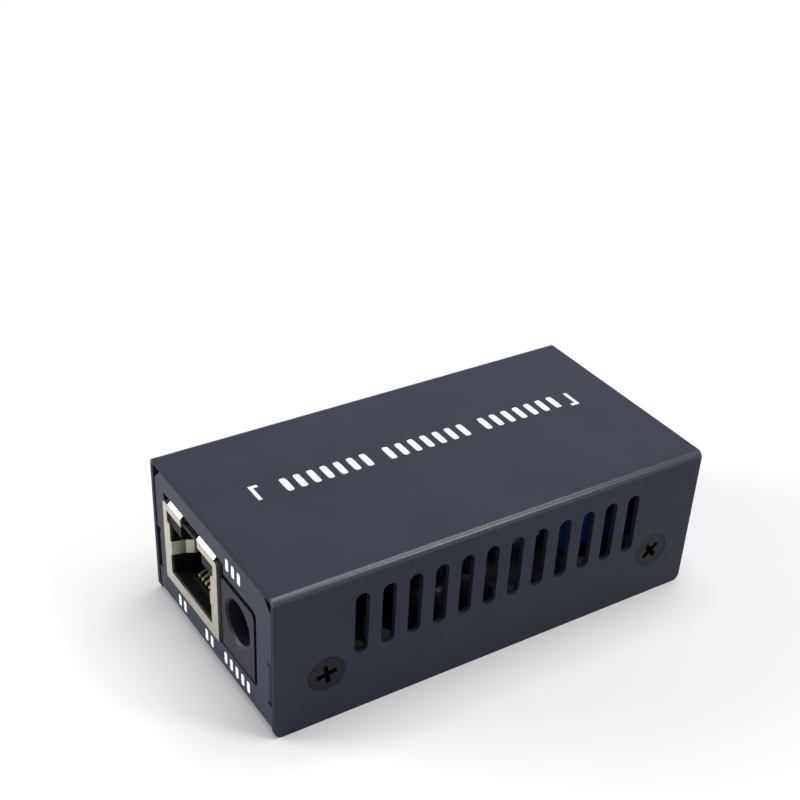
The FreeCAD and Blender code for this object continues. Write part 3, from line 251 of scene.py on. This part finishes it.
# %% Give every node its finish
NICKEL = (0.546, 0.516, 0.438)
# Gold plating, its colour darkened as painted shade so that the contacts in the socket's hollow
# glint less. The cans and leads share it.
GOLD_DARKENED_AS_SHADE = (0.20, 0.155, 0.085)
finishes = {
    "nickel_sheet": (metal("nickel_sheet", NICKEL, 0.22, (0.15, 1, 1)),
                     ("jack_shield", "port_clip", "board_posts", "power_jack_spring",
                      "power_jack_side_blade", "power_jack_pin", "crystal")),
    "zinc_screw": (metal("zinc_screw", (0.62, 0.63, 0.64), 0.3), ("board_screws",)),
    "black_screw": (metal("black_screw", (0.020, 0.021, 0.024), 0.20, mottle=0.35),
                    ("cover_screws",)),
    "gilding_darkened_as_shade": (metal("gilding_darkened_as_shade", GOLD_DARKENED_AS_SHADE, 0.3),
                ("jack_contacts", "transmitter_can", "receiver_can", "optical_leads")),
    "tinning": (metal("tinning", (0.72, 0.72, 0.73), 0.26, size=0.3),
                ("line_transformer_leads", "converter_chip_leads")),
    "machined_steel": (metal("machined_steel", (0.60, 0.60, 0.62), 0.3, (1, 0.1, 1)),
                       ("optical_block",)),
    "black_sleeve": (moulded("black_sleeve", (0.010, 0.010, 0.012), 0.35),
                     ("smoothing_capacitors",)),
    "green_mask": (solder_mask("green_mask"), ("circuit_board",)),
    "black_moulding": (moulded("black_moulding", (0.014, 0.014, 0.016), 0.42),
                       ("jack_contact_comb", "line_transformer", "converter_chip",
                        "laser_driver_chip", "voltage_regulator", "input_diode")),
    # The jack's housing is black plastic, darkened further as painted shade for the socket's deep
    # hollow.
    "jack_moulding_darkened_as_shade": (moulded("jack_moulding_darkened_as_shade", (0.0025, 0.0025, 0.004), 0.5, gloss=0.15),
                      ("jack_housing",)),
    "power_moulding": (moulded("power_moulding", (0.008, 0.010, 0.015), 0.45, gloss=0.2),
                       ("power_jack_housing",)),
    # The port's blue plastic is made brighter than its own colour, as painted light, so that it
    # shows inside the dim case.
    "blue_moulding_lifted_as_light": (moulded("blue_moulding_lifted_as_light", (0.03, 0.18, 0.85), 0.3), ("port_housing",)),
    "pale_moulding": (moulded("pale_moulding", (0.66, 0.67, 0.64), 0.4), ("port_insert",)),
    "ferrite": (moulded("ferrite", (0.05, 0.05, 0.055), 0.5, 0.3, 0.02), ("power_inductor",)),
    "zirconia": (moulded("zirconia", (0.80, 0.79, 0.76), 0.2, 0.1, 0.002, 0.04), ("port_sleeve",)),
    "green_fuse": (moulded("green_fuse", (0.05, 0.20, 0.06), 0.35), ("input_fuse",)),
    "clear_lens": (moulded("clear_lens", (0.72, 0.72, 0.60), 0.2), ("status_lights",)),
    "fired_chip": (moulded("fired_chip", (0.16, 0.12, 0.08), 0.4, drift=0.4), ("small_parts",)),
    "cover_powder_coat": (cover_coat, ("top_cover",)),
    "tray_powder_coat": (tray_coat, ("base_tray",)),
}


def coat_object(obj, material):
    """One material on all of an object's faces."""
    obj.data.materials.clear()
    obj.data.materials.append(material)


for material, names in finishes.values():
    for name in names:
        coat_object(nodes[name], material)
plain = set(nodes) - {name for _, names in finishes.values() for name in names}
print("finished nodes:", len(nodes) - len(plain), "still plain:", sorted(plain))

# %% [markdown]
# Real sheet has no perfectly sharp edge: shearing and coating round it by a tenth of a millimetre,
# and that round is what draws the bright lines along the vents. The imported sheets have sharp
# edges, so a copy of each is merged, its flat faces are joined, and a Bevel modifier rounds it.
# Weighted normals keep the large flat faces evenly lit next to the rounds.
# The cover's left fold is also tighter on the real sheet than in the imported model. The right one
# is taken to be the same, so the copy's points are moved on both folds first.

# %% Rounded copies of the sheet pieces
FOLD_PACKED, FOLD_TIGHT = 2.0, 1.0
EASED_ABOVE = 35.0


def tighter_folds(mesh):
    """Move the top's two folds outwards so that their outer radius falls to FOLD_TIGHT.

    A point of a fold keeps its angle about the fold's centre and loses the same length from its
    radius, and the centre moves out by that length: p' = c' + (|p - c| - lost) (p - c) / |p - c|.
    """
    spots = np.empty(len(mesh.vertices) * 3)
    mesh.vertices.foreach_get("co", spots)
    spots = spots.reshape(-1, 3)
    side = np.sign(spots[:, 0])
    edge, top = np.abs(spots[:, 0]).max(), spots[:, 2].max()
    packed, lost = FOLD_PACKED * MM, (FOLD_PACKED - FOLD_TIGHT) * MM
    centre = np.array([edge - packed, top - packed])
    away = np.stack([np.abs(spots[:, 0]), spots[:, 2]], axis=1) - centre
    folded = (away > -1e-7).all(axis=1)
    radius = np.maximum(np.linalg.norm(away, axis=1), 1e-9)
    moved = centre + lost + away * ((radius - lost) / radius)[:, None]
    spots[folded, 0] = (side * moved[:, 0])[folded]
    spots[folded, 2] = moved[folded, 1]
    mesh.vertices.foreach_set("co", spots.ravel())
    print("fold points moved:", int(folded.sum()), "of", len(spots))


def eased_copy(node, name, width, shape=None):
    """Replace a coated node by a copy whose edges sharper than EASED_ABOVE are rounded, in mm."""
    mesh = nodes[node].data.copy()
    if shape:
        shape(mesh)
    work = bmesh.new()
    work.from_mesh(mesh)
    bmesh.ops.remove_doubles(work, verts=work.verts, dist=1e-6)
    bmesh.ops.dissolve_limit(work, angle_limit=math.radians(0.5), verts=work.verts,
                             edges=work.edges)
    for face in work.faces:
        face.smooth = True
    work.to_mesh(mesh)
    work.free()
    obj = bpy.data.objects.new(name, mesh)
    bpy.context.scene.collection.objects.link(obj)
    bevel = obj.modifiers.new("ease", "BEVEL")
    bevel.width = width * MM
    bevel.segments = 2
    bevel.limit_method = "ANGLE"
    bevel.angle_limit = math.radians(EASED_ABOVE)
    level = obj.modifiers.new("level", "WEIGHTED_NORMAL")
    level.mode = "FACE_AREA"
    level.weight = 100
    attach(obj, "root")
    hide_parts(node)
    print(name, "replaces", node, "with", len(mesh.polygons), "faces before easing")


eased_copy("top_cover", "eased_cover", 0.10, shape=tighter_folds)
eased_copy("base_tray", "eased_tray", 0.08)

# %% [markdown]
# The print on the case is left generic: where the object has words, there are groups of plain
# rounded bars, which don't follow the words, and two corner brackets. Ink stands a hundredth of a
# millimetre proud, so each mark is a thin closed plate rather than a picture.

# %% White marks
INK = 0.012


def bar_outline(width, height, count=20, power=5.0):
    """A superellipse: |x/a|^n + |y/b|^n = 1, as points round the bar."""
    turn = np.linspace(0, 2 * np.pi, count, endpoint=False)
    c, s = np.cos(turn), np.sin(turn)
    x = np.sign(c) * np.abs(c) ** (2 / power) * width / 2
    y = np.sign(s) * np.abs(s) ** (2 / power) * height / 2
    return np.stack([x, y], axis=1)


def plates(outlines):
    """Closed plates from flat outlines: each is a ring at height 0 and the same ring at INK."""
    points, faces, start = [], [], 0
    for outline in outlines:
        count = len(outline)
        for height in (0.0, INK):
            points.append(np.column_stack([outline, np.full(count, height)]))
        around = np.arange(count)
        after = (around + 1) % count
        faces.append((start + around[::-1]).tolist())
        faces.append((start + count + around).tolist())
        sides = np.stack([around, after, after + count, around + count], axis=1) + start
        faces.extend(sides.tolist())
        start += 2 * count
    return np.concatenate(points), faces


def mark(name, outlines, origin, across, up):
    """White marks laid on a face: origin in millimetres, across and up as unit directions."""
    flat, faces = plates(outlines)
    across, up = np.array(across, float), np.array(up, float)
    frame_of_face = np.stack([across, up, np.cross(across, up)])
    mesh = bpy.data.meshes.new(name)
    spots = (flat @ frame_of_face + np.array(origin, float)) * MM
    mesh.from_pydata(spots.tolist(), [], faces)
    obj = bpy.data.objects.new(name, mesh)
    bpy.context.scene.collection.objects.link(obj)
    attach(obj, "root")
    coat_object(obj, ink)
    print(name, len(outlines), "marks")


def bars(groups, pitch, width, height, gap):
    """Upright bars in groups, starting at 0 and running along x."""
    outlines, x = [], width / 2
    for count in groups:
        for _ in range(count):
            outlines.append(bar_outline(width, height) + np.array([x, 0]))
            x += pitch
        x += gap
    return outlines


def bracket(width, height, stroke):
    """An L of two strokes, its corner at the origin."""
    return [np.array([(0, 0), (width, 0), (width, stroke), (stroke, stroke), (stroke, height),
                      (0, height)], float)]


def mirrored(outlines, flip):
    """Outlines times flip, run backwards: a mirror turns a ring over, and this turns it back."""
    return [outline[::-1] * flip for outline in outlines]


white = Finish("white_ink", Specular_IOR_Level=0.4)
speckle = white.noise(0.3, 2.0)
white.tint(speckle, (0.62, 0.63, 0.64), (0.82, 0.83, 0.84))
white.rough(0.5 + speckle * 0.1)
ink = white.bump(speckle, 0.004).material

cover_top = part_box("top_cover")[1][2] / MM
panel_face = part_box("base_tray")[0][1] / MM
print("cover's top at", round(cover_top, 2), "mm, front panel at", round(panel_face, 2))

# %% [markdown]
# The cover's marks run from the rear to the front, with their tops to the right. The front panel's
# marks stand upright beside the sockets.

# %% Lay the marks on the two faces
TOWARDS_FRONT, TOWARDS_RIGHT, UPRIGHT = (0, -1, 0), (1, 0, 0), (0, 0, 1)
corner = bracket(width=1.3, height=3.3, stroke=0.55)
mark("title_marks", bars((7, 7, 7), pitch=2.02, width=1.0, height=3.0, gap=1.6),
     (-2.97, 23.2, cover_top), TOWARDS_FRONT, TOWARDS_RIGHT)
mark("title_bracket_front", mirrored(corner, (-1, 1)), (-4.8, -25.7, cover_top),
     TOWARDS_FRONT, TOWARDS_RIGHT)
mark("title_bracket_rear", mirrored(corner, (1, -1)), (-0.9, 25.9, cover_top),
     TOWARDS_FRONT, TOWARDS_RIGHT)
for name, count, x, z in (("power_marks", 3, 4.6, 19.1), ("fibre_marks", 2, -10.6, 2.7),
                          ("network_marks", 2, -2.3, 2.7), ("supply_marks", 5, 3.4, 3.0)):
    mark(name, bars((count,), pitch=1.6, width=0.8, height=1.8, gap=0), (x, panel_face, z),
         TOWARDS_RIGHT, UPRIGHT)

# %% [markdown]
# The floor is one large pale sheet. Near the object it is a plain diffuse surface that takes the
# shadow; further off it fades to white for the camera, so the background has no horizon.

# %% Floor
REACH = 3.0
FADE_FROM, FADE_TO = 40.0, 130.0


def white_for_the_eye(tree):
    """1 for camera, glossy and transmission rays, which are those that see the background."""
    light = tree.nodes.new("ShaderNodeLightPath")
    seen = Wire(tree, light.outputs["Is Camera Ray"]) + Wire(tree, light.outputs["Is Glossy Ray"])
    seen = seen + Wire(tree, light.outputs["Is Transmission Ray"])
    return seen > 0.5


floor_mesh = bpy.data.meshes.new("floor")
floor_mesh.from_pydata([(-REACH, -REACH, 0), (REACH, -REACH, 0), (REACH, REACH, 0),
                        (-REACH, REACH, 0)], [], [(0, 1, 2, 3)])
floor = bpy.data.objects.new("floor", floor_mesh)
bpy.context.scene.collection.objects.link(floor)

paper = Finish("pale_floor", Roughness=0.9, Specular_IOR_Level=0.0)
paper.tint(paper.noise(40.0), (0.79, 0.79, 0.795), (0.82, 0.82, 0.825))
distance = paper.node("ShaderNodeVectorMath", {"operation": "LENGTH"}, {0: paper.place},
                      output="Value") * 1000
glow = paper.node("ShaderNodeEmission", inputs={"Color": (1, 1, 1, 1), "Strength": 1.0})
far = paper.fade(distance, FADE_FROM, FADE_TO) * white_for_the_eye(paper.tree)
blend = paper.tree.nodes.new("ShaderNodeMixShader")
paper.tree.links.new(far.socket, blend.inputs[0])
paper.tree.links.new(paper.shader.outputs[0], blend.inputs[1])
paper.tree.links.new(glow.socket, blend.inputs[2])
paper.tree.links.new(blend.outputs[0], paper.tree.nodes["Material Output"].inputs[0])
coat_object(floor, paper.material)
print("floor is", 2 * REACH, "m wide and turns white from", FADE_FROM, "to", FADE_TO, "mm")

# %% [markdown]
# The light is what a white tent gives: an even sky, a broad lamp above, a low fill at the front
# that brightens the socket panel, and a weak key behind the right corner, where the cover's right
# fold mirrors it.

# %% World and lamps
SKY = 0.18
world = bpy.data.worlds.new("tent")
bpy.context.scene.world = world
world.use_nodes = True
sky = world.node_tree.nodes["Background"]
sky.inputs["Color"].default_value = (1, 1, 1, 1)
plug(world.node_tree, SKY + white_for_the_eye(world.node_tree) * (1 - SKY), sky.inputs["Strength"])


def soft_lamp(name, position, size, power):
    """A square area lamp at position (metres) that faces the object's middle."""
    data = bpy.data.lights.new(name, "AREA")
    data.size = size
    data.energy = power
    lamp = bpy.data.objects.new(name, data)
    lamp.location = position
    aim = Vector((0, 0, 0.01)) - Vector(position)
    lamp.rotation_euler = aim.to_track_quat("-Z", "Y").to_euler()
    bpy.context.scene.collection.objects.link(lamp)
    print(name, power, "W")


soft_lamp("overhead_lamp", (0.02, 0.12, 0.60), size=0.50, power=3.5)
soft_lamp("key_lamp", (0.28, 0.22, 0.33), size=0.10, power=0.5)
soft_lamp("fill_lamp", (-0.30, -0.44, 0.12), size=0.30, power=3.8)

# %% [markdown]
# The camera stands in front and to the right of the object, looks down on it at 35 degrees, and is
# rolled slightly. Its place is given by two angles and a distance, in units of the case's height.
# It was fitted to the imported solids, so it shows them at their best and proves nothing about them.

# %% Camera
HEIGHT = 0.0222
AZIMUTH, ELEVATION, ROLL = (math.radians(v) for v in (56.035, 35.184, 3.063))
DISTANCE, SIDEWAYS, UPWARDS = 8.7775, -0.1881, 0.1139
FOCAL, SHIFT, SENSOR = 1.7398, 0.125, 36.0

back = Vector((math.sin(AZIMUTH) * math.cos(ELEVATION), -math.cos(AZIMUTH) * math.cos(ELEVATION),
               math.sin(ELEVATION)))
level = Vector((math.cos(AZIMUTH), math.sin(AZIMUTH), 0))
rise = back.cross(level)
right = level * math.cos(ROLL) + rise * math.sin(ROLL)
up = rise * math.cos(ROLL) - level * math.sin(ROLL)
eye = Vector((0, 0, 0.5)) + back * DISTANCE + level * SIDEWAYS + rise * UPWARDS

camera_data = bpy.data.cameras.new("camera")
camera_data.sensor_width = SENSOR
camera_data.lens = FOCAL * SENSOR
camera_data.shift_y = SHIFT
camera_data.clip_start, camera_data.clip_end = 0.01, 20.0
camera = bpy.data.objects.new("camera", camera_data)
turned = Matrix((right, up, back)).transposed().to_4x4()
camera.matrix_world = Matrix.Translation(eye * HEIGHT) @ turned
bpy.context.scene.collection.objects.link(camera)
bpy.context.scene.camera = camera
bpy.context.scene.view_settings.view_transform = "Standard"
print("camera at", [round(v, 4) for v in camera.matrix_world.translation])
